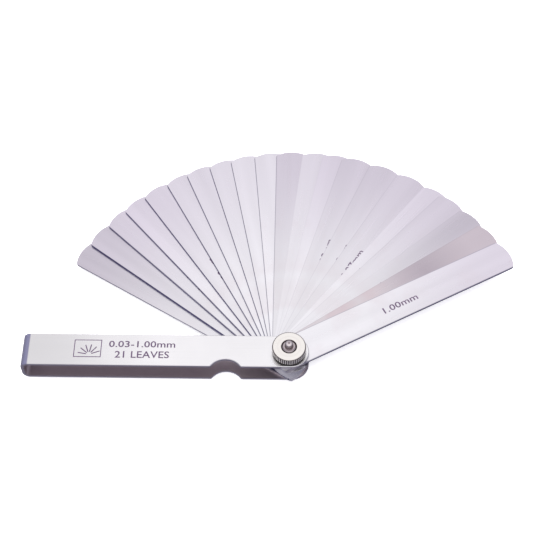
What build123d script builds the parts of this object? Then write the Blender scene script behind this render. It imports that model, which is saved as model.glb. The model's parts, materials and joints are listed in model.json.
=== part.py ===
from build123d import *
import math
import os

# Feeler gauge: a folding set of steel leaves of graded thickness on one pivot.
# Frame: the origin is on the pivot axis, in the flat outer face of the screw's head, on which
# the gauge rests.  +Z runs up the pivot axis to the nut, the holder points along -X, and the
# leaves fan out over +Y.  Millimetres.

# ---- Leaves: a strip with shallow curved ends and one pivot hole ----
LEAF_WIDTH = 12.7
LEAF_LENGTH = 102.0
LEAF_REAR = 6.5            # from the pivot axis to the rear end
LEAF_END_RADIUS = 12.0     # of both curved ends
LEAF_CORNER = 1.2          # of the four rounded corners
LEAF_GAP = 0.02            # of oil and air between neighbours in the stack

# Thickness of each leaf and the angle it is fanned to from +X, from the back of the stack to
# the front.  The thickest leaf is kept at the front, where it covers the thin ones.
LEAVES = [
    (0.90, 149.0),
    (0.80, 143.0),
    (0.70, 136.5),
    (0.60, 131.0),
    (0.50, 125.0),
    (0.45, 118.5),
    (0.40, 113.0),
    (0.35, 107.0),
    (0.30, 101.5),
    (0.25, 95.5),
    (0.20, 90.0),
    (0.15, 83.5),
    (0.10, 78.5),
    (0.09, 73.7),
    (0.08, 66.6),
    (0.07, 59.4),
    (0.06, 52.0),
    (0.05, 47.5),
    (0.04, 41.0),
    (0.03, 35.0),
    (1.00, 28.5),
]

# ---- Pivot hardware: M5 x 0.8 screw, knurled nut, split spring washer ----
SCREW_DIAMETER = 5.0
RUNNING_CLEARANCE = 0.05   # radial, between the screw and what turns on it
SCREW_HEAD_DIAMETER = 10.0
SCREW_HEAD_HEIGHT = 1.2
SCREW_HEAD_CHAMFER = 0.3
SCREW_FLAT_DEPTH = 0.4     # of each of the two flats that stop it turning in the back plate
THREAD_END_CHAMFER = 0.4
THREAD_PROUD = 0.3         # of the thread's end above the nut's face
TIP_SHOULDER = 0.4         # wide, between the thread's chamfer and the foot of the tip
TIP_TAPER = 0.3            # radial, from the tip's foot to its top
TIP_HEIGHT = 2.3
TIP_ROUND = 1.1

WASHER_RING = 2.0          # radial width
WASHER_THICKNESS = 0.8
WASHER_SPLIT = 0.7
WASHER_SPLIT_ANGLE = 20.0  # of the slanting split, from the pivot axis
WASHER_CLEARANCE = 0.1

NUT_DIAMETER = 12.5
NUT_HEIGHT = 2.7
NUT_RIM_CHAMFER = 0.25
NUT_MOUTH_CHAMFER = 0.4    # of the two mouths of its bore
KNURL_TEETH = 48
KNURL_DEPTH = 0.3
KNURL_LAND = 0.12          # left flat on the crest of each tooth

# ---- Holder: one strip of sheet bent into a hairpin, open along both long sides ----
SHEET = 1.2
HOLDER_MARGIN = 0.15       # of the plates beyond each side of a folded leaf
HOLDER_NOSE = 0.8          # from the pivot axis to the centre of the rounded nose
BEND_RADIUS = 2.9          # outside the two bends at the tail
TIP_TO_BEND = 0.4          # from the tips of the closed leaves to where the bends start
HOLDER_HOLE_CLEARANCE = 0.1
EDGE_BREAK = 0.2           # of the hairpin's outer rims
NOTCH_CENTRE = 23.2        # from the pivot axis to the middle of the thumb notch
NOTCH_CHORD = 11.0
NOTCH_DEPTH = 3.0
NOTCH_CORNER = 0.8         # of its two rounded ends

# ---- Places that follow from the sizes above ----
screw_radius = SCREW_DIAMETER / 2
tip_foot_radius = screw_radius - THREAD_END_CHAMFER - TIP_SHOULDER
washer_bore_radius = screw_radius + WASHER_CLEARANCE
washer_radius = washer_bore_radius + WASHER_RING
holder_width = LEAF_WIDTH + 2 * HOLDER_MARGIN
leaf_reach = LEAF_LENGTH - LEAF_REAR
stack_height = sum(thickness for thickness, _ in LEAVES) + LEAF_GAP * (len(LEAVES) + 1)
holder_height = stack_height + 2 * SHEET
back_outer = SCREW_HEAD_HEIGHT
back_inner = back_outer + SHEET
front_inner = back_inner + stack_height
front_outer = front_inner + SHEET
washer_top = front_outer + WASHER_THICKNESS
nut_top = washer_top + NUT_HEIGHT
thread_end = nut_top + THREAD_PROUD
tail_end = leaf_reach + TIP_TO_BEND + BEND_RADIUS
nose_end = HOLDER_NOSE + holder_width / 2

os.makedirs("parts", exist_ok=True)


def finish(solid, name):
    """Label a finished piece and write it."""
    solid.part.label = name
    export_step(solid.part, f"parts/{name}.step")


def draw_neck():
    """The screw's round section with its two flats, in the current sketch."""
    Circle(screw_radius)
    Rectangle(SCREW_DIAMETER, SCREW_DIAMETER - 2 * SCREW_FLAT_DEPTH, mode=Mode.INTERSECT)


def make_leaf(thickness, angle, level):
    """One leaf, lying at its level in the stack and turned about the pivot axis."""
    direction = (math.cos(math.radians(angle)), math.sin(math.radians(angle)), 0)
    half = LEAF_WIDTH / 2
    sag = LEAF_END_RADIUS - math.sqrt(LEAF_END_RADIUS**2 - half**2)
    with BuildPart() as leaf:
        with BuildSketch(Plane(origin=(0, 0, level), x_dir=direction, z_dir=(0, 0, 1))):
            with BuildLine():
                ThreePointArc((leaf_reach - sag, -half), (leaf_reach, 0), (leaf_reach - sag, half))
                Line((leaf_reach - sag, half), (sag - LEAF_REAR, half))
                ThreePointArc((sag - LEAF_REAR, half), (-LEAF_REAR, 0), (sag - LEAF_REAR, -half))
                Line((sag - LEAF_REAR, -half), (leaf_reach - sag, -half))
            outline = make_face()
            fillet(outline.vertices(), radius=LEAF_CORNER)
            Circle(screw_radius + RUNNING_CLEARANCE, mode=Mode.SUBTRACT)
        extrude(amount=thickness)
    return leaf


# Leaves, named by their thickness in hundredths of a millimetre
level = back_inner + LEAF_GAP
for thickness, angle in LEAVES:
    finish(make_leaf(thickness, angle, level), f"leaf_{round(thickness * 100):03d}")
    level += thickness + LEAF_GAP

# Holder: the hairpin's side profile, run across its width and trimmed to its plan outline
with BuildPart() as holder:
    with BuildSketch(Plane.XZ):
        with BuildLine():
            FilletPolyline(
                (nose_end, back_outer),
                (-tail_end, back_outer),
                (-tail_end, front_outer),
                (nose_end, front_outer),
                radius=BEND_RADIUS,
            )
            Line((nose_end, front_outer), (nose_end, front_inner))
            FilletPolyline(
                (nose_end, front_inner),
                (SHEET - tail_end, front_inner),
                (SHEET - tail_end, back_inner),
                (nose_end, back_inner),
                radius=BEND_RADIUS - SHEET,
            )
            Line((nose_end, back_inner), (nose_end, back_outer))
        make_face()
    extrude(amount=holder_width / 2, both=True)
    with BuildSketch(Plane.XY.offset(back_outer)) as plan:
        with Locations((HOLDER_NOSE, 0)):
            Circle(holder_width / 2)
            Rectangle(tail_end + HOLDER_NOSE, holder_width, align=(Align.MAX, Align.CENTER))
        notch_radius = (NOTCH_CHORD**2 / 4 + NOTCH_DEPTH**2) / (2 * NOTCH_DEPTH)
        with Locations((-NOTCH_CENTRE, NOTCH_DEPTH - holder_width / 2 - notch_radius)):
            Circle(notch_radius, mode=Mode.SUBTRACT)
        notch_span = (-NOTCH_CENTRE - NOTCH_CHORD, -NOTCH_CENTRE + NOTCH_CHORD)
        fillet(plan.vertices().filter_by_position(Axis.X, *notch_span), radius=NOTCH_CORNER)
    extrude(amount=holder_height, mode=Mode.INTERSECT)
    with BuildSketch(Plane.XY.offset(back_outer)):
        draw_neck()
    extrude(amount=SHEET, mode=Mode.SUBTRACT)
    with BuildSketch(Plane.XY.offset(front_inner)):
        Circle(screw_radius + HOLDER_HOLE_CLEARANCE)
    extrude(amount=SHEET, mode=Mode.SUBTRACT)
    plates = holder.faces().filter_by(Axis.Z).sort_by(Axis.Z)
    tail = holder.faces().filter_by(Axis.X).sort_by(Axis.X)[0]
    bends = [face for face in holder.faces().filter_by(GeomType.CYLINDER) if face.radius == BEND_RADIUS]
    rims = ShapeList()
    for face in (plates[0], plates[-1], tail, *bends):
        rims += face.outer_wire().edges().filter_by(Axis.Y, reverse=True)
    chamfer(rims, length=EDGE_BREAK)
finish(holder, "holder")

# Pivot screw: low head, neck with two flats, shank, threaded end and tapered tip
with BuildPart() as pivot_screw:
    with BuildSketch(Plane.XY):
        Circle(SCREW_HEAD_DIAMETER / 2)
    extrude(amount=SCREW_HEAD_HEIGHT)
    chamfer(pivot_screw.edges().sort_by(Axis.Z)[0], length=SCREW_HEAD_CHAMFER)
    with BuildSketch(Plane.XY.offset(back_outer)):
        draw_neck()
    extrude(amount=SHEET)
    with BuildSketch(Plane.XY.offset(back_inner)):
        Circle(screw_radius)
    extrude(amount=thread_end - back_inner)
    chamfer(pivot_screw.edges().sort_by(Axis.Z)[-1], length=THREAD_END_CHAMFER)
    with BuildSketch(Plane.XY.offset(thread_end)):
        Circle(tip_foot_radius)
    with BuildSketch(Plane.XY.offset(thread_end + TIP_HEIGHT)):
        Circle(tip_foot_radius - TIP_TAPER)
    loft()
    fillet(pivot_screw.edges().sort_by(Axis.Z)[-1], radius=TIP_ROUND)
finish(pivot_screw, "pivot_screw")

# Spring washer: a ring closed flat under the nut, with its slanting split
with BuildPart() as spring_washer:
    with BuildSketch(Plane.XY.offset(front_outer)):
        Circle(washer_radius)
        Circle(washer_bore_radius, mode=Mode.SUBTRACT)
    extrude(amount=WASHER_THICKNESS)
    upright = Plane(origin=(0, 0, front_outer + WASHER_THICKNESS / 2), x_dir=(1, 0, 0), z_dir=(0, -1, 0))
    with BuildSketch(upright.rotated((WASHER_SPLIT_ANGLE, 0, 0))):
        Rectangle(2 * washer_radius, 4 * WASHER_THICKNESS, align=(Align.MIN, Align.CENTER))
    extrude(amount=WASHER_SPLIT / 2, both=True, mode=Mode.SUBTRACT)
finish(spring_washer, "spring_washer")

# Knurled nut: a disc with countersunk mouths and a straight knurl of vee grooves round its rim
with BuildPart() as knurled_nut:
    with BuildSketch(Plane.XY.offset(washer_top)):
        Circle(NUT_DIAMETER / 2)
    extrude(amount=NUT_HEIGHT)
    chamfer(knurled_nut.edges(), length=NUT_RIM_CHAMFER)
    with BuildSketch(Plane.XY.offset(washer_top)):
        groove_width = math.pi * NUT_DIAMETER / KNURL_TEETH - KNURL_LAND
        with PolarLocations(NUT_DIAMETER / 2, KNURL_TEETH):
            Polygon(
                (-KNURL_DEPTH, 0),
                (KNURL_DEPTH, -groove_width),
                (KNURL_DEPTH, groove_width),
                align=None,
            )
    extrude(amount=NUT_HEIGHT, mode=Mode.SUBTRACT)
    with BuildSketch(Plane.XY.offset(washer_top)):
        Circle(screw_radius + RUNNING_CLEARANCE)
    extrude(amount=NUT_HEIGHT, mode=Mode.SUBTRACT)
    mouths = knurled_nut.edges().filter_by(GeomType.CIRCLE).group_by(SortBy.RADIUS)[0]
    chamfer(mouths, length=NUT_MOUTH_CHAMFER)
finish(knurled_nut, "knurled_nut")
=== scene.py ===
"""Feeler gauge: twenty-one spring-steel leaves on a screw pivot in a bent sheet holder.

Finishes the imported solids, prints the markings and sets up the studio.
"""

import json
import math

import bmesh
import bpy
from bpy.props import FloatProperty, FloatVectorProperty, PointerProperty, StringProperty
from mathutils import Matrix, Quaternion, Vector


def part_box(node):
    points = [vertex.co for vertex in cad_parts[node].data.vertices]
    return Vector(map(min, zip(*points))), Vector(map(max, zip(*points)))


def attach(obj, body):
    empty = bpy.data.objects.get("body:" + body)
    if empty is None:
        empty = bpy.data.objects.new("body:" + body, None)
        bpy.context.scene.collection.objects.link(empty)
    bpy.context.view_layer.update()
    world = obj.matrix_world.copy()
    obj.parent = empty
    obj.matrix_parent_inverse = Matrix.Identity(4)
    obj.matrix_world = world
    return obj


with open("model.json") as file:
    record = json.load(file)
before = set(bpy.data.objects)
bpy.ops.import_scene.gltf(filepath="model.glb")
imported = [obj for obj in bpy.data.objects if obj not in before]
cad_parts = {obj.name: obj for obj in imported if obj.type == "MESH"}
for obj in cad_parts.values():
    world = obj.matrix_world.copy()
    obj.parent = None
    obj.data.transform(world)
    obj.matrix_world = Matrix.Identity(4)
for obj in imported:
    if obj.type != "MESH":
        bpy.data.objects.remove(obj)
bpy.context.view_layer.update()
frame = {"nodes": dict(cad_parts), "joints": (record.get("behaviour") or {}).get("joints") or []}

bl_info = {
    "name": "Feeler gauge finishes",
    "version": (1, 0, 0),
    "blender": (4, 5, 0),
    "location": "3D View > Sidebar > Gauge",
    "description": "Metal finishes, markings and studio for a screw-pivot feeler gauge",
    "category": "Object",
}

MM = 0.001
LEAF_PREFIX = "leaf_"
THINNEST_LEAF = "003"

LEAF_WIDTH = 12.7 * MM
HOLDER_SHEET = 1.2 * MM
# The holder's tail bend carries painted shade over this length.
BEND_SHADE_LENGTH = 5 * MM    # of the holder's tail, from its end
BEND_LENGTH = 4.5 * MM       # of the tail that curves away from the plates
MASK_SLACK = 0.04 * MM       # keeps a mask clear of the surface that it ends at

LEAF_MARK_LENGTH = 14.5 * MM
# The framed fan: the middle of the frame on the holder, its outside, and the fan's foot,
# which is where its blades would meet, from the middle of the frame.
FAN_PLACE = (-74.2 * MM, 0.3 * MM)
FAN_FRAME = (10.2 * MM, 7.4 * MM)
FAN_LINE = 0.32 * MM
FAN_FOOT = (0.6 * MM, -2.5 * MM)
FAN_BLADE = (3.2 * MM, 0.4 * MM)
FAN_BLADE_REACH = 2.6 * MM   # from the fan's foot to the middle of a blade
FAN_ANGLES = (20, 50, 80, 110, 140, 170)
# Name, text, length, height and middle (x, y) of the holder's two lines of text, in mm.
HOLDER_LINES = (
    ("range_mark", "0.03-1.00mm", 24.5, 2.7, -54.2, 2.3),
    ("count_mark", "21 LEAVES", 20, 2.9, -54, -2.1),
)

# Painted shade by distance from the pivot: (mm, how bright the metal is left). On the nut, painted shade
# darkens its mouth, the bottoms of the knurl and the chamfer at its rim.
NUT_SHADE = (
    (0.0, 0.12), (2.85, 0.15), (2.95, 0.98), (3.6, 1.0), (4.2, 0.94), (4.8, 1.0), (5.7, 0.98),
    (5.82, 0.95), (5.9, 0.08), (6.08, 0.1), (6.2, 1.0), (6.3, 1.0),
)
# On the screw's tip, painted light and shade: a dark middle and dark rings, with a bright ring between
# them for the highlight on its rounded top.
SCREW_SHADE = (
    (0.0, 0.42), (0.45, 0.5), (0.6, 1.0), (1.2, 1.0), (1.35, 0.45), (1.9, 0.8), (2.5, 0.6),
)
# Painted shade on the tail bend: how bright it is left, by its share of the shaded length from the
# tail's end, and its blue tint.
BEND_SHADE = ((0.0, 0.95), (0.3, 0.64), (0.52, 0.40), (0.61, 1.0))
BEND_SHADE_BLUE = 1.45
# Colour of the tent by height, from the floor's level (0) to straight up (1), linear.
TENT_STEPS = (
    (0.00, (0.31, 0.30, 0.36, 1)), (0.30, (0.44, 0.44, 0.48, 1)), (0.55, (0.58, 0.575, 0.61, 1)),
    (0.72, (0.755, 0.735, 0.765, 1)), (0.87, (0.965, 0.955, 0.965, 1)), (1.00, (1, 1, 0.99, 1)),
)
FLOOR_HALF_SIZE = 20.0
FLOOR_DROP = 0.02 * MM       # below the gauge, so that the two never share a plane
LAMP_PLACE = (0.0, 0.05, 0.9)
LAMP_WIDTH = 0.9
LAMP_POWER = 6.0

# Leaf thickness (the number in the node's name) to: how bright its ground face is, how much painted
# shade darkens its tip, how dark the painted shade on its sheared edge is, how strong the painted dark
# line along its long edges is, and how many millimetres its mark sits off the usual place.
LEAF_LOOKS = {
    "090": (0.930, 1.28, 0.10, 0.00, 0.00),
    "080": (0.940, 1.18, 1.00, 1.00, 0.00),
    "070": (0.965, 1.08, 1.00, 0.65, 1.40),
    "060": (0.985, 1.00, 1.00, 0.85, 0.00),
    "050": (0.975, 0.95, 1.00, 1.00, 0.80),
    "045": (1.000, 0.75, 1.00, 0.90, 0.00),
    "040": (1.000, 0.70, 1.00, 0.85, 0.85),
    "035": (1.010, 0.60, 1.00, 0.90, 0.00),
    "030": (1.020, 0.50, 1.00, 0.80, 0.00),
    "025": (1.030, 0.50, 1.00, 0.70, 0.00),
    "020": (0.925, 1.10, 0.60, 0.45, 0.00),
    "015": (0.990, 0.70, 0.60, 0.05, 0.00),
    "010": (1.010, 1.00, 0.50, 0.05, 0.00),
    "009": (0.965, 1.12, 0.50, 0.10, 0.35),
    "008": (0.970, 1.12, 0.50, 0.12, 0.00),
    "007": (0.960, 1.10, 0.50, 0.12, 0.60),
    "006": (1.010, 0.95, 0.50, 0.05, 2.10),
    "005": (0.970, 1.10, 0.50, 0.10, 0.00),
    "004": (0.950, 1.28, 0.50, 0.05, 0.80),
    "003": (0.830, 1.30, 0.50, 0.10, 0.00),
    "100": (1.000, 0.90, 0.75, 0.45, 0.00),
}


def linear(hex_colour):
    """An sRGB hex colour such as "C6C5C9" as linear red, green, blue and alpha."""
    channels = [int(hex_colour[i:i + 2], 16) / 255 for i in (0, 2, 4)]
    return tuple(
        c / 12.92 if c <= 0.04045 else ((c + 0.055) / 1.055) ** 2.4 for c in channels
    ) + (1.0,)


def add(tree, kind, sockets=None, **settings):
    """Adds one node. settings are its attributes; sockets maps an input to a value or a link."""
    made = tree.nodes.new(kind)
    for name, value in settings.items():
        setattr(made, name, value)
    for key, value in (sockets or {}).items():
        socket = made.inputs[key]
        if isinstance(value, bpy.types.NodeSocket):
            tree.links.new(value, socket)
        else:
            socket.default_value = value
    return made


def start_material(name):
    """An empty material, its node tree and the texture coordinates every pattern starts from."""
    material = bpy.data.materials.new(name)
    material.use_nodes = True
    tree = material.node_tree
    tree.nodes.clear()
    return material, tree, add(tree, "ShaderNodeTexCoord")


def close_material(tree, sockets):
    """Ends a node tree with its shader and output."""
    shader = add(tree, "ShaderNodeBsdfPrincipled", sockets)
    add(tree, "ShaderNodeOutputMaterial", {"Surface": shader.outputs["BSDF"]})


def paint(node_name, material):
    """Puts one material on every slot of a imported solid."""
    obj = frame["nodes"][node_name]
    if not obj.material_slots:
        obj.data.materials.append(material)
    for slot in obj.material_slots:
        slot.material = material


def leaves():
    """(node name, thickness digits, angle of the leaf from +X) for every leaf."""
    found = []
    for joint in frame["joints"]:
        name = joint["child"]
        if name.startswith(LEAF_PREFIX):
            closed = math.radians(joint["range_deg"][1])
            found.append((name, name[len(LEAF_PREFIX):], math.pi - closed))
    if not found:
        raise RuntimeError("the frame holds no leaves")
    return found


class SteelSettings(bpy.types.PropertyGroup):
    """Sizes and colours of the ground spring steel."""

    face: StringProperty(name="Face", description="Ground face, sRGB hex", default="D5D4D8")
    # The tip colour is painted shade towards the far end of a leaf.
    tip_shade: StringProperty(name="Tip", description="Handled tip, sRGB hex", default="C7C1CC")
    stain: StringProperty(
        name="Stain", description="Dried oil on the shim leaves, sRGB hex", default="BEB0B5"
    )
    # The smear colour is a patch of painted shade.
    shade_patch: StringProperty(
        name="Smear", description="Dark oil smear on the thinnest leaf, sRGB hex", default="A39AA3"
    )
    # The edge colour is painted shade on the sheared edges.
    edge: StringProperty(name="Edge", description="Sheared edge, sRGB hex", default="4C4874")
    # The fold colour is a thin dark line of painted shade along the long edges.
    edge_line_shade: StringProperty(
        name="Fold", description="Corner rolled over by shearing, sRGB hex", default="29254F"
    )
    roughness: FloatProperty(
        name="Roughness", description="Roughness of the ground face", default=0.3, min=0, max=1
    )
    grind_pitch: FloatProperty(
        name="Grinding pitch", description="Distance between grinding lines",
        default=0.35 * MM, unit="LENGTH", precision=6,
    )
    # The bow bands are painted shade.
    bow_shade_width: FloatProperty(
        name="Bow width", description="Width of the soft bands on a leaf that is not quite flat",
        default=6 * MM, unit="LENGTH", precision=6,
    )


class HolderSettings(bpy.types.PropertyGroup):
    """Sizes and colours of the bent sheet holder."""

    outside: StringProperty(name="Outside", description="Plated outside, sRGB hex", default="D5D4D6")
    # The inside colour is painted shade between the plates.
    inside: StringProperty(name="Inside", description="Unpolished inside, sRGB hex", default="BCB1B7")
    # The edge colour is painted shade on the blanked edges.
    edge: StringProperty(name="Edge", description="Blanked edge, sRGB hex", default="98949F")
    roughness: FloatProperty(
        name="Roughness", description="Roughness of the outside", default=0.26, min=0, max=1
    )


class HardwareSettings(bpy.types.PropertyGroup):
    """Colours of the screw, washer and nut."""

    nickel: StringProperty(name="Nickel", description="Nickel plating, sRGB hex", default="DCD9D5")
    screw: StringProperty(name="Screw", description="Turned screw, sRGB hex", default="C3BCBD")
    washer: StringProperty(name="Washer", description="Oiled spring steel, sRGB hex", default="6E6B74")
    turning_pitch: FloatProperty(
        name="Turning pitch", description="Distance between the rings left by the lathe",
        default=0.45 * MM, unit="LENGTH", precision=6,
    )


class PrintSettings(bpy.types.PropertyGroup):
    """The markings on the leaves and holder."""

    ink: StringProperty(name="Ink", description="Electro-etched mark, sRGB hex", default="4B3A52")
    height: FloatProperty(
        name="Digit height", description="Height of a leaf's digits",
        default=2.6 * MM, unit="LENGTH", precision=6,
    )
    distance: FloatProperty(
        name="Distance", description="From the pivot to the middle of a leaf's mark",
        default=47 * MM, unit="LENGTH", precision=6,
    )
    sideways: FloatProperty(
        name="Sideways", description="From the leaf's centre line to the middle of its mark",
        default=-0.5 * MM, unit="LENGTH", precision=6,
    )
    film: FloatProperty(
        name="Film", description="How far a mark stands out of the steel",
        default=0.004 * MM, unit="LENGTH", precision=7,
    )


class StageSettings(bpy.types.PropertyGroup):
    """Camera, floor and light."""

    target: FloatVectorProperty(
        name="Target", description="Point the camera looks at",
        default=(-0.0091, 0.0373, 0.01116), subtype="TRANSLATION", precision=5,
    )
    azimuth: FloatProperty(
        name="Azimuth", description="Camera angle round the gauge",
        default=math.radians(2.56), subtype="ANGLE",
    )
    elevation: FloatProperty(
        name="Elevation", description="Camera angle above the floor",
        default=math.radians(56.26), subtype="ANGLE",
    )
    roll: FloatProperty(
        name="Roll", description="Turn of the picture", default=math.radians(-1.57), subtype="ANGLE"
    )
    distance: FloatProperty(
        name="Distance", description="Camera to target", default=0.5173, unit="LENGTH", precision=4
    )
    lens: FloatProperty(name="Lens", description="Focal length in mm", default=91.37)
    floor: StringProperty(name="Floor", description="Floor colour, sRGB hex", default="F7F7F8")
    sky: FloatProperty(name="Sky", description="Strength of the tent round the gauge", default=1.5)


class GaugeSettings(bpy.types.PropertyGroup):
    """Everything a user would change."""

    steel: PointerProperty(type=SteelSettings)
    holder: PointerProperty(type=HolderSettings)
    hardware: PointerProperty(type=HardwareSettings)
    marks: PointerProperty(type=PrintSettings)
    stage: PointerProperty(type=StageSettings)


def leaf_material(digits, angle, settings, order):
    """Hardened spring steel, surface ground: a satin grey with lines along the leaf.

    The face is painted brightest near the pivot and darker towards the tip, as painted shade, and soft
    bands of painted shade stand for a thin leaf that is never quite flat. The sheared edge is painted
    darker and violet, and a thin dark line is painted along the long edges, both as painted shade.
    """
    bright, tip_darkening, edge_darkness, edge_line, _ = LEAF_LOOKS[digits]
    material, tree, place = start_material(f"ground_spring_steel_{digits}")
    along = add(tree, "ShaderNodeMapping", {
        "Vector": place.outputs["Object"], "Rotation": (0, 0, -angle),
    })
    split = add(tree, "ShaderNodeSeparateXYZ", {"Vector": along.outputs["Vector"]})

    # Grinding lines: real grit marks are about 0.02 mm apart, too fine to show, so these
    # are as coarse as the pitch says.
    lines = add(tree, "ShaderNodeMapping", {
        "Vector": along.outputs["Vector"], "Location": (order, order, 0),
        "Scale": (25, 1 / settings.grind_pitch, 25),
    })
    grind = add(tree, "ShaderNodeTexNoise", {
        "Vector": lines.outputs["Vector"], "Scale": 1.0, "Detail": 2.0,
    })
    # Painted shade in bands along its length, for the bow of a leaf that is not quite flat.
    bands = add(tree, "ShaderNodeMapping", {
        "Vector": along.outputs["Vector"], "Location": (3.7 * order, 1.9 * order, 0),
        "Scale": (11, 1 / settings.bow_shade_width, 1),
    })
    bow = add(tree, "ShaderNodeTexNoise", {
        "Vector": bands.outputs["Vector"], "Scale": 1.0, "Detail": 1.0,
    })
    # Blotches of old oil, 12 mm across.
    film = add(tree, "ShaderNodeTexNoise", {
        "Vector": along.outputs["Vector"], "Scale": 1 / (12 * MM), "Detail": 3.0,
    })

    # Painted shade: the face darkens from near the pivot towards the tip.
    reach = add(tree, "ShaderNodeMapRange", {
        "Value": split.outputs["X"], "From Min": 25 * MM, "From Max": 96 * MM,
        "To Min": 0.0, "To Max": min(1.0, tip_darkening),
    }, interpolation_type="SMOOTHSTEP")
    face = linear(settings.face)
    face = tuple(min(1.0, c * bright) for c in face[:3]) + (1.0,)
    tip_shade = tuple(c * min(1.0, 1.75 - 0.75 * tip_darkening) for c in linear(settings.tip_shade)[:3]) + (1.0,)
    graded = add(tree, "ShaderNodeMix", {
        "Factor": reach.outputs["Result"], "A": face, "B": tip_shade,
    }, data_type="RGBA")
    shade = add(tree, "ShaderNodeMapRange", {
        "Value": bow.outputs["Fac"], "From Min": 0.3, "From Max": 0.7, "To Min": 0.955, "To Max": 1.035,
    })
    streak = add(tree, "ShaderNodeMapRange", {
        "Value": grind.outputs["Fac"], "From Min": 0.3, "From Max": 0.7, "To Min": 0.985, "To Max": 1.01,
    })
    tone = add(tree, "ShaderNodeMath", {
        0: shade.outputs["Result"], 1: streak.outputs["Result"],
    }, operation="MULTIPLY")
    toned = add(tree, "ShaderNodeVectorMath", {
        0: graded.outputs["Result"], "Scale": tone.outputs["Value"],
    }, operation="SCALE")
    least_oil, most_oil = (0.45, 0.9) if digits == THINNEST_LEAF else (0.0, 0.2)
    oily = add(tree, "ShaderNodeMapRange", {
        "Value": film.outputs["Fac"], "From Min": 0.5, "From Max": 0.72,
        "To Min": least_oil, "To Max": most_oil,
    })
    stained = add(tree, "ShaderNodeMix", {
        "Factor": oily.outputs["Result"], "A": toned.outputs["Vector"], "B": linear(settings.stain),
    }, data_type="RGBA")
    colour = stained.outputs["Result"]
    if digits == THINNEST_LEAF:
        # The thinnest leaf carries a dark patch of painted shade half way along, for its bend.
        shade_patch = add(tree, "ShaderNodeMapping", {
            "Vector": along.outputs["Vector"], "Location": (-2.9, 0.0, 0),
            "Scale": (1 / (22 * MM), 1 / (30 * MM), 1),
        })
        spot = add(tree, "ShaderNodeTexGradient", {
            "Vector": shade_patch.outputs["Vector"],
        }, gradient_type="SPHERICAL")
        shade_patched = add(tree, "ShaderNodeMix", {
            "Factor": spot.outputs["Fac"], "A": colour, "B": linear(settings.shade_patch),
        }, data_type="RGBA")
        colour = shade_patched.outputs["Result"]

    # Painted shade on the sheared edges: upright faces take the dark edge colour, for the dark
    # reflection they show.
    upright = add(tree, "ShaderNodeSeparateXYZ", {"Vector": place.outputs["Normal"]})
    flatness = add(tree, "ShaderNodeMath", {0: upright.outputs["Z"]}, operation="ABSOLUTE")
    side = add(tree, "ShaderNodeMapRange", {
        "Value": flatness.outputs["Value"], "From Min": 0.4, "From Max": 0.8,
        "To Min": edge_darkness, "To Max": 0.0,
    })
    # The painted edge shade is weaker at the rear end.
    rear = add(tree, "ShaderNodeMapRange", {
        "Value": split.outputs["X"], "From Min": 6 * MM, "From Max": 14 * MM,
        "To Min": 0.35, "To Max": 1.0,
    })
    edge_shade_mask = add(tree, "ShaderNodeMath", {
        0: side.outputs["Result"], 1: rear.outputs["Result"],
    }, operation="MULTIPLY")
    # A thin dark line of painted shade on the face along the long edges, where a leaf's edge and its
    # shadow show.
    across = add(tree, "ShaderNodeMath", {0: split.outputs["Y"]}, operation="ABSOLUTE")
    roll = add(tree, "ShaderNodeMapRange", {
        "Value": across.outputs["Value"], "From Min": LEAF_WIDTH / 2 - 0.3 * MM,
        "From Max": LEAF_WIDTH / 2 - 0.15 * MM, "To Min": 0.0, "To Max": edge_line,
    })
    edge_lined = add(tree, "ShaderNodeMix", {
        "Factor": roll.outputs["Result"], "A": colour, "B": linear(settings.edge_line_shade),
    }, data_type="RGBA")
    edged = add(tree, "ShaderNodeMix", {
        "Factor": edge_shade_mask.outputs["Value"], "A": edge_lined.outputs["Result"],
        "B": linear(settings.edge),
    }, data_type="RGBA")
    rough = add(tree, "ShaderNodeMapRange", {
        "Value": grind.outputs["Fac"], "From Min": 0.25, "From Max": 0.75,
        "To Min": settings.roughness - 0.04, "To Max": settings.roughness + 0.05,
    })
    ripple = add(tree, "ShaderNodeBump", {
        "Height": grind.outputs["Fac"], "Strength": 0.12, "Distance": 0.004 * MM,
    })
    close_material(tree, {
        "Base Color": edged.outputs["Result"], "Metallic": 1.0,
        "Roughness": rough.outputs["Result"], "Normal": ripple.outputs["Normal"],
    })
    return material


class GAUGE_OT_leaves(bpy.types.Operator):
    """Grind the faces of every leaf, with painted shade on them and on the edges"""

    bl_idname = "gauge.leaves"
    bl_label = "Leaves"

    def execute(self, context):
        settings = context.scene.gauge.steel
        for order, (name, digits, angle) in enumerate(leaves()):
            paint(name, leaf_material(digits, angle, settings, order))
        return {"FINISHED"}


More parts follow.
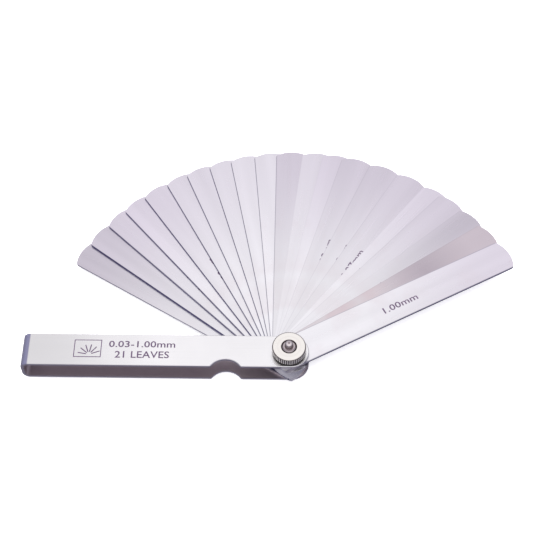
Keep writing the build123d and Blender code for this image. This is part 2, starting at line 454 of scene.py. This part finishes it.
class GAUGE_OT_holder(bpy.types.Operator):
    """Plate the holder outside, with painted shade inside, on its edges and on its tail bend"""

    bl_idname = "gauge.holder"
    bl_label = "Holder"

    def execute(self, context):
        settings = context.scene.gauge.holder
        low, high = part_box("holder")
        material, tree, place = start_material("nickel_plated_sheet_steel")
        split = add(tree, "ShaderNodeSeparateXYZ", {"Vector": place.outputs["Object"]})
        facing = add(tree, "ShaderNodeSeparateXYZ", {"Vector": place.outputs["Normal"]})

        # Polishing lines run along the plates, drawn 0.4 mm apart so that they show.
        lines = add(tree, "ShaderNodeMapping", {
            "Vector": place.outputs["Object"], "Scale": (20, 1 / (0.4 * MM), 300),
        })
        grain = add(tree, "ShaderNodeTexNoise", {
            "Vector": lines.outputs["Vector"], "Scale": 1.0, "Detail": 2.0,
        })
        cloud = add(tree, "ShaderNodeTexNoise", {
            "Vector": place.outputs["Object"], "Scale": 1 / (18 * MM), "Detail": 2.0,
        })
        # Painted shade: the plating is darker towards the tail.
        tail_shade = add(tree, "ShaderNodeMapRange", {
            "Value": split.outputs["X"], "From Min": low.x, "From Max": low.x + 55 * MM,
            "To Min": 0.80, "To Max": 1.0,
        }, interpolation_type="SMOOTHSTEP")
        mottle = add(tree, "ShaderNodeMapRange", {
            "Value": cloud.outputs["Fac"], "From Min": 0.3, "From Max": 0.7,
            "To Min": 0.97, "To Max": 1.02,
        })
        streak = add(tree, "ShaderNodeMapRange", {
            "Value": grain.outputs["Fac"], "From Min": 0.3, "From Max": 0.7,
            "To Min": 0.99, "To Max": 1.01,
        })
        first = add(tree, "ShaderNodeMath", {
            0: tail_shade.outputs["Result"], 1: mottle.outputs["Result"],
        }, operation="MULTIPLY")
        tone = add(tree, "ShaderNodeMath", {
            0: first.outputs["Value"], 1: streak.outputs["Result"],
        }, operation="MULTIPLY")
        outside = add(tree, "ShaderNodeVectorMath", {
            0: linear(settings.outside)[:3], "Scale": tone.outputs["Value"],
        }, operation="SCALE")

        # Painted shade on the tail bend, for its dark reflection, darkest where it starts.
        bend_shade = add(tree, "ShaderNodeValToRGB", {"Fac": add(tree, "ShaderNodeMapRange", {
            "Value": split.outputs["X"], "From Min": low.x,
            "From Max": low.x + BEND_SHADE_LENGTH,
        }).outputs["Result"]})
        elements = bend_shade.color_ramp.elements
        while len(elements) < len(BEND_SHADE):
            elements.new(0.5)
        for element, (position, level) in zip(elements, BEND_SHADE):
            element.position = position
            element.color = (level, level, min(1.0, level * BEND_SHADE_BLUE), 1)
        skin = add(tree, "ShaderNodeVectorMath", {
            0: outside.outputs["Vector"], 1: bend_shade.outputs["Color"],
        }, operation="MULTIPLY")

        # Inside faces, between the plates and not a blanked edge, carry painted shade: a darker colour
        # for the recess.
        back_plate = low.z + HOLDER_SHEET
        front_plate = high.z - HOLDER_SHEET
        over = add(tree, "ShaderNodeMath", {
            0: split.outputs["Z"], 1: back_plate - MASK_SLACK,
        }, operation="GREATER_THAN")
        under = add(tree, "ShaderNodeMath", {
            0: split.outputs["Z"], 1: front_plate + MASK_SLACK,
        }, operation="LESS_THAN")
        beyond = add(tree, "ShaderNodeMath", {
            0: split.outputs["X"], 1: low.x + HOLDER_SHEET - MASK_SLACK,
        }, operation="GREATER_THAN")
        sideways = add(tree, "ShaderNodeMath", {0: facing.outputs["Y"]}, operation="ABSOLUTE")
        level = add(tree, "ShaderNodeMath", {
            0: sideways.outputs["Value"], 1: 0.5,
        }, operation="LESS_THAN")
        between = add(tree, "ShaderNodeMath", {
            0: over.outputs["Value"], 1: under.outputs["Value"],
        }, operation="MULTIPLY")
        within = add(tree, "ShaderNodeMath", {
            0: between.outputs["Value"], 1: beyond.outputs["Value"],
        }, operation="MULTIPLY")
        inside = add(tree, "ShaderNodeMath", {
            0: within.outputs["Value"], 1: level.outputs["Value"],
        }, operation="MULTIPLY")
        lined = add(tree, "ShaderNodeMix", {
            "Factor": inside.outputs["Value"], "A": skin.outputs["Vector"],
            "B": linear(settings.inside),
        }, data_type="RGBA")

        # Blanked edges: upright faces, apart from the bend's own outside, painted darker and bluish as
        # painted shade.
        flatness = add(tree, "ShaderNodeMath", {0: facing.outputs["Z"]}, operation="ABSOLUTE")
        upright = add(tree, "ShaderNodeMath", {
            0: flatness.outputs["Value"], 1: 0.5,
        }, operation="LESS_THAN")
        past_bend = add(tree, "ShaderNodeMath", {
            0: split.outputs["X"], 1: low.x + BEND_LENGTH,
        }, operation="GREATER_THAN")
        across = add(tree, "ShaderNodeMath", {
            0: sideways.outputs["Value"], 1: 0.5,
        }, operation="GREATER_THAN")
        either = add(tree, "ShaderNodeMath", {
            0: past_bend.outputs["Value"], 1: across.outputs["Value"],
        }, operation="MAXIMUM")
        blanked = add(tree, "ShaderNodeMath", {
            0: upright.outputs["Value"], 1: either.outputs["Value"],
        }, operation="MULTIPLY")
        edged = add(tree, "ShaderNodeMix", {
            "Factor": blanked.outputs["Value"], "A": lined.outputs["Result"],
            "B": linear(settings.edge),
        }, data_type="RGBA")

        duller = add(tree, "ShaderNodeMath", {
            0: inside.outputs["Value"], 1: blanked.outputs["Value"],
        }, operation="MAXIMUM")
        rough = add(tree, "ShaderNodeMapRange", {
            "Value": duller.outputs["Value"], "To Min": settings.roughness, "To Max": 0.42,
        })
        ripple = add(tree, "ShaderNodeBump", {
            "Height": grain.outputs["Fac"], "Strength": 0.1, "Distance": 0.004 * MM,
        })
        close_material(tree, {
            "Base Color": edged.outputs["Result"], "Metallic": 1.0,
            "Roughness": rough.outputs["Result"], "Normal": ripple.outputs["Normal"],
        })
        paint("holder", material)
        return {"FINISHED"}


def turned_material(name, colour, roughness, pitch, depth, shade_steps=()):
    """Metal turned on a lathe: rings round the pivot, and painted shade at set distances from it."""
    material, tree, place = start_material(name)
    rings = add(tree, "ShaderNodeTexWave", {
        "Vector": place.outputs["Object"], "Scale": math.pi / 10 / pitch,
        "Distortion": 0.6, "Detail": 1.0, "Detail Scale": 0.3,
    }, wave_type="RINGS", rings_direction="Z")
    cloud = add(tree, "ShaderNodeTexNoise", {
        "Vector": place.outputs["Object"], "Scale": 1 / (3 * MM), "Detail": 2.0,
    })
    shade = add(tree, "ShaderNodeMapRange", {
        "Value": rings.outputs["Fac"], "To Min": 1 - depth, "To Max": 1.0,
    })
    mottle = add(tree, "ShaderNodeMapRange", {
        "Value": cloud.outputs["Fac"], "From Min": 0.3, "From Max": 0.7, "To Min": 0.97, "To Max": 1.02,
    })
    tone = add(tree, "ShaderNodeMath", {
        0: shade.outputs["Result"], 1: mottle.outputs["Result"],
    }, operation="MULTIPLY")
    base = linear(colour)[:3]
    if shade_steps:
        # Painted shade at set distances from the pivot.
        flat = add(tree, "ShaderNodeVectorMath", {
            0: place.outputs["Object"], 1: (1, 1, 0),
        }, operation="MULTIPLY")
        out = add(tree, "ShaderNodeVectorMath", {0: flat.outputs["Vector"]}, operation="LENGTH")
        reach = shade_steps[-1][0]
        spread = add(tree, "ShaderNodeMapRange", {
            "Value": out.outputs["Value"], "From Min": 0.0, "From Max": reach * MM,
        })
        ramp = add(tree, "ShaderNodeValToRGB", {"Fac": spread.outputs["Result"]})
        elements = ramp.color_ramp.elements
        while len(elements) < len(shade_steps):
            elements.new(0.5)
        for element, (distance, lit) in zip(elements, shade_steps):
            element.position = distance / reach
            element.color = (lit, lit ** 1.12, lit ** 1.05, 1)
        shaded = add(tree, "ShaderNodeVectorMath", {
            0: base, 1: ramp.outputs["Color"],
        }, operation="MULTIPLY")
        base = shaded.outputs["Vector"]
    toned = add(tree, "ShaderNodeVectorMath", {
        0: base, "Scale": tone.outputs["Value"],
    }, operation="SCALE")
    rough = add(tree, "ShaderNodeMapRange", {
        "Value": cloud.outputs["Fac"], "From Min": 0.3, "From Max": 0.7,
        "To Min": roughness - 0.03, "To Max": roughness + 0.05,
    })
    ripple = add(tree, "ShaderNodeBump", {
        "Height": rings.outputs["Fac"], "Strength": 0.25, "Distance": 0.006 * MM,
    })
    close_material(tree, {
        "Base Color": toned.outputs["Vector"], "Metallic": 1.0,
        "Roughness": rough.outputs["Result"], "Normal": ripple.outputs["Normal"],
    })
    return material


class GAUGE_OT_hardware(bpy.types.Operator):
    """Turn and plate the screw, washer and nut"""

    bl_idname = "gauge.hardware"
    bl_label = "Screw, washer and nut"

    def execute(self, context):
        settings = context.scene.gauge.hardware
        pitch = settings.turning_pitch
        # Nickel is warm beside the steel. The lathe's rings show as faint circles.
        paint("knurled_nut", turned_material(
            "nickel_plated_turned_steel", settings.nickel, 0.3, pitch, 0.06, NUT_SHADE,
        ))
        # Bright turned steel, smoother than the nut, so its rounded tip has a sharp highlight.
        paint("pivot_screw", turned_material(
            "bright_turned_steel", settings.screw, 0.22, pitch, 0.05, SCREW_SHADE,
        ))
        # Hardened and oiled spring steel: dark, with a dull shine.
        paint("spring_washer", turned_material("oiled_spring_steel", settings.washer, 0.35, pitch, 0.1))
        return {"FINISHED"}


def ink_material(settings):
    """Electro-etched mark: a dark violet-grey oxide, matt, and thinner in places."""
    material, tree, place = start_material("electro_etched_mark")
    grain = add(tree, "ShaderNodeTexNoise", {
        "Vector": place.outputs["Object"], "Scale": 1 / (0.6 * MM), "Detail": 2.0,
    })
    dark = linear(settings.ink)
    pale = tuple(min(1.0, c * 1.7) for c in dark[:3]) + (1.0,)
    graded = add(tree, "ShaderNodeMapRange", {
        "Value": grain.outputs["Fac"], "From Min": 0.4, "From Max": 0.75,
    })
    colour = add(tree, "ShaderNodeMix", {
        "Factor": graded.outputs["Result"], "A": dark, "B": pale,
    }, data_type="RGBA")
    close_material(tree, {
        "Base Color": colour.outputs["Result"], "Metallic": 0.0, "Roughness": 0.6,
    })
    return material


def letters(name, text, height, length, film, place, material):
    """Text as a thin closed mesh, its middle at place and its back on place's XY plane."""
    curve = bpy.data.curves.new(name, "FONT")
    curve.body = text
    curve.align_x = "CENTER"
    curve.resolution_u = 3
    curve.extrude = 0.05
    curve.space_character = 1.02
    curve.offset = 0.012
    stand_in = bpy.data.objects.new(name, curve)
    mesh = bpy.data.meshes.new_from_object(stand_in)
    bpy.data.objects.remove(stand_in)
    bpy.data.curves.remove(curve)
    low = [min(v.co[i] for v in mesh.vertices) for i in range(3)]
    high = [max(v.co[i] for v in mesh.vertices) for i in range(3)]
    scale = (length / (high[0] - low[0]), height / (high[1] - low[1]), film / (high[2] - low[2]))
    middle = Vector(((low[0] + high[0]) / 2, (low[1] + high[1]) / 2, low[2]))
    shape = bmesh.new()
    shape.from_mesh(mesh)
    bmesh.ops.remove_doubles(shape, verts=shape.verts, dist=0.0005)
    bmesh.ops.translate(shape, vec=-middle, verts=shape.verts)
    bmesh.ops.scale(shape, vec=scale, verts=shape.verts)
    bmesh.ops.transform(shape, matrix=place, verts=shape.verts)
    bmesh.ops.recalc_face_normals(shape, faces=shape.faces)
    return finish_piece(name, shape, mesh, material)


def finish_piece(name, shape, mesh, material):
    """Stores a bmesh as an object at the origin, with its one material."""
    shape.to_mesh(mesh)
    shape.free()
    mesh.name = name
    mesh.materials.clear()
    mesh.materials.append(material)
    obj = bpy.data.objects.new(name, mesh)
    bpy.context.scene.collection.objects.link(obj)
    return obj


def fan_mark(place, film, material):
    """A plain symbol of a fan of leaves in a frame, made of thin closed strips."""
    shape = bmesh.new()
    frame_face = bmesh.ops.create_grid(
        shape, x_segments=1, y_segments=1, size=0.5, matrix=Matrix.Diagonal((*FAN_FRAME, 1, 1))
    )
    inner = list({face for vert in frame_face["verts"] for face in vert.link_faces})
    bmesh.ops.inset_region(
        shape, faces=inner, thickness=FAN_LINE, use_even_offset=True, use_boundary=True
    )
    bmesh.ops.delete(shape, geom=inner, context="FACES")
    for degrees in FAN_ANGLES:
        bmesh.ops.create_grid(
            shape, x_segments=1, y_segments=1, size=0.5,
            matrix=(
                Matrix.Translation((*FAN_FOOT, 0))
                @ Matrix.Rotation(math.radians(degrees), 4, "Z")
                @ Matrix.Translation((FAN_BLADE_REACH, 0, 0))
                @ Matrix.Diagonal((*FAN_BLADE, 1, 1))
            ),
        )
    raised = bmesh.ops.extrude_face_region(shape, geom=shape.faces[:], use_keep_orig=True)
    top = [item for item in raised["geom"] if isinstance(item, bmesh.types.BMVert)]
    bmesh.ops.translate(shape, vec=(0, 0, film), verts=top)
    bmesh.ops.transform(shape, matrix=place, verts=shape.verts)
    bmesh.ops.recalc_face_normals(shape, faces=shape.faces)
    return finish_piece("fan_mark", shape, bpy.data.meshes.new("fan_mark"), material)


class GAUGE_OT_leaf_marks(bpy.types.Operator):
    """Mark every leaf with its thickness in millimetres"""

    bl_idname = "gauge.leaf_marks"
    bl_label = "Leaf markings"

    def execute(self, context):
        settings = context.scene.gauge.marks
        material = ink_material(settings)
        for name, digits, angle in leaves():
            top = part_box(name)[1].z
            # The marks are rolled on one leaf at a time, so no two sit quite alike.
            sideways = settings.sideways + LEAF_LOOKS[digits][4] * MM
            place = (
                Matrix.Rotation(angle, 4, "Z")
                @ Matrix.Translation((settings.distance, sideways, top))
            )
            text = f"{int(digits) / 100:.2f}mm"
            mark = letters(
                f"mark_{digits}", text, settings.height, LEAF_MARK_LENGTH, settings.film, place,
                material,
            )
            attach(mark, name)
        return {"FINISHED"}


class GAUGE_OT_holder_marks(bpy.types.Operator):
    """Mark the holder with its range and a small fan in a frame"""

    bl_idname = "gauge.holder_marks"
    bl_label = "Holder markings"

    def execute(self, context):
        settings = context.scene.gauge.marks
        material = ink_material(settings)
        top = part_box("holder")[1].z
        pieces = [fan_mark(Matrix.Translation((*FAN_PLACE, top)), settings.film, material)]
        for name, text, length, height, x, y in HOLDER_LINES:
            place = Matrix.Translation((x * MM, y * MM, top))
            pieces.append(
                letters(name, text, height * MM, length * MM, settings.film, place, material)
            )
        for piece in pieces:
            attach(piece, "holder")
        return {"FINISHED"}


class GAUGE_OT_stage(bpy.types.Operator):
    """Set the camera, floor and light"""

    bl_idname = "gauge.stage"
    bl_label = "Stage"

    def execute(self, context):
        settings = context.scene.gauge.stage
        scene = context.scene
        scene.view_settings.view_transform = "Standard"
        self.camera(scene, settings)
        self.floor(settings)
        self.tent(scene, settings)
        return {"FINISHED"}

    def camera(self, scene, settings):
        data = bpy.data.cameras.new("camera")
        data.lens = settings.lens
        data.sensor_width = 36
        obj = bpy.data.objects.new("camera", data)
        scene.collection.objects.link(obj)
        flat = math.cos(settings.elevation)
        back = Vector((
            math.sin(settings.azimuth) * flat,
            -math.cos(settings.azimuth) * flat,
            math.sin(settings.elevation),
        ))
        obj.rotation_mode = "QUATERNION"
        obj.location = Vector(settings.target) + back * settings.distance
        turn = Quaternion((0, 0, 1), settings.roll)
        obj.rotation_quaternion = (-back).to_track_quat("-Z", "Y") @ turn
        scene.camera = obj

    def floor(self, settings):
        """Matt white acrylic sheet, lit from below as well, so that shadows on it stay faint."""
        material, tree, place = start_material("matt_white_acrylic")
        cloud = add(tree, "ShaderNodeTexNoise", {
            "Vector": place.outputs["Object"], "Scale": 1 / (300 * MM), "Detail": 1.0,
        })
        white = linear(settings.floor)
        colour = add(tree, "ShaderNodeMix", {
            "Factor": cloud.outputs["Fac"], "A": white, "B": tuple(c * 0.985 for c in white[:3]) + (1,),
        }, data_type="RGBA")
        close_material(tree, {
            "Base Color": colour.outputs["Result"], "Roughness": 0.8,
            "Emission Color": white, "Emission Strength": 0.5,
        })
        mesh = bpy.data.meshes.new("floor")
        shape = bmesh.new()
        bmesh.ops.create_grid(
            shape, x_segments=1, y_segments=1, size=FLOOR_HALF_SIZE,
            matrix=Matrix.Translation((0, 0, -FLOOR_DROP)),
        )
        sheet = finish_piece("floor", shape, mesh, material)
        # Metal does not mirror the floor, so its edges stay dark against it.
        sheet.visible_glossy = False

    def tent(self, scene, settings):
        """A bright tent overhead that darkens to slate blue near the floor."""
        world = bpy.data.worlds.new("tent")
        world.use_nodes = True
        tree = world.node_tree
        tree.nodes.clear()
        place = add(tree, "ShaderNodeTexCoord")
        split = add(tree, "ShaderNodeSeparateXYZ", {"Vector": place.outputs["Generated"]})
        # The side the camera is on has a second panel, lower down.
        front = add(tree, "ShaderNodeMapRange", {
            "Value": split.outputs["Y"], "From Min": -0.2, "From Max": -0.9,
            "To Min": 0.0, "To Max": 0.28,
        })
        height = add(tree, "ShaderNodeMath", {
            0: split.outputs["Z"], 1: front.outputs["Result"],
        }, operation="ADD")
        ramp = add(tree, "ShaderNodeValToRGB", {"Fac": height.outputs["Value"]})
        elements = ramp.color_ramp.elements
        elements[0].position, elements[0].color = TENT_STEPS[0]
        elements[1].position, elements[1].color = TENT_STEPS[-1]
        for position, colour in TENT_STEPS[1:-1]:
            elements.new(position).color = colour
        tent = add(tree, "ShaderNodeBackground", {
            "Color": ramp.outputs["Color"], "Strength": settings.sky,
        })
        # Where the floor ends, a plain pale backdrop shows instead of the tent.
        backdrop = add(tree, "ShaderNodeBackground", {"Color": linear(settings.floor)})
        seen = add(tree, "ShaderNodeLightPath")
        both = add(tree, "ShaderNodeMixShader", {
            0: seen.outputs["Is Camera Ray"], 1: tent.outputs["Background"],
            2: backdrop.outputs["Background"],
        })
        add(tree, "ShaderNodeOutputWorld", {"Surface": both.outputs["Shader"]})
        scene.world = world

        light = bpy.data.lights.new("overhead", "AREA")
        light.shape = "DISK"
        light.size = LAMP_WIDTH
        light.energy = LAMP_POWER
        lamp = bpy.data.objects.new("overhead", light)
        lamp.location = LAMP_PLACE
        lamp.visible_glossy = False
        scene.collection.objects.link(lamp)


class GAUGE_PT_panel(bpy.types.Panel):
    """Lists the steps in the sidebar"""

    bl_idname = "GAUGE_PT_panel"
    bl_label = "Feeler gauge"
    bl_space_type = "VIEW_3D"
    bl_region_type = "UI"
    bl_category = "Gauge"

    def draw(self, context):
        for operator in OPERATORS:
            self.layout.operator(operator.bl_idname)


SETTINGS = (
    SteelSettings, HolderSettings, HardwareSettings, PrintSettings, StageSettings, GaugeSettings,
)
OPERATORS = (
    GAUGE_OT_leaves, GAUGE_OT_holder, GAUGE_OT_hardware, GAUGE_OT_leaf_marks,
    GAUGE_OT_holder_marks, GAUGE_OT_stage,
)


def register():
    for cls in SETTINGS + OPERATORS + (GAUGE_PT_panel,):
        bpy.utils.register_class(cls)
    bpy.types.Scene.gauge = PointerProperty(type=GaugeSettings)


def unregister():
    del bpy.types.Scene.gauge
    for cls in reversed(SETTINGS + OPERATORS + (GAUGE_PT_panel,)):
        bpy.utils.unregister_class(cls)


def main():
    register()
    bpy.ops.gauge.leaves()
    bpy.ops.gauge.holder()
    bpy.ops.gauge.hardware()
    bpy.ops.gauge.leaf_marks()
    bpy.ops.gauge.holder_marks()
    bpy.ops.gauge.stage()


if __name__ == "__main__":
    main()
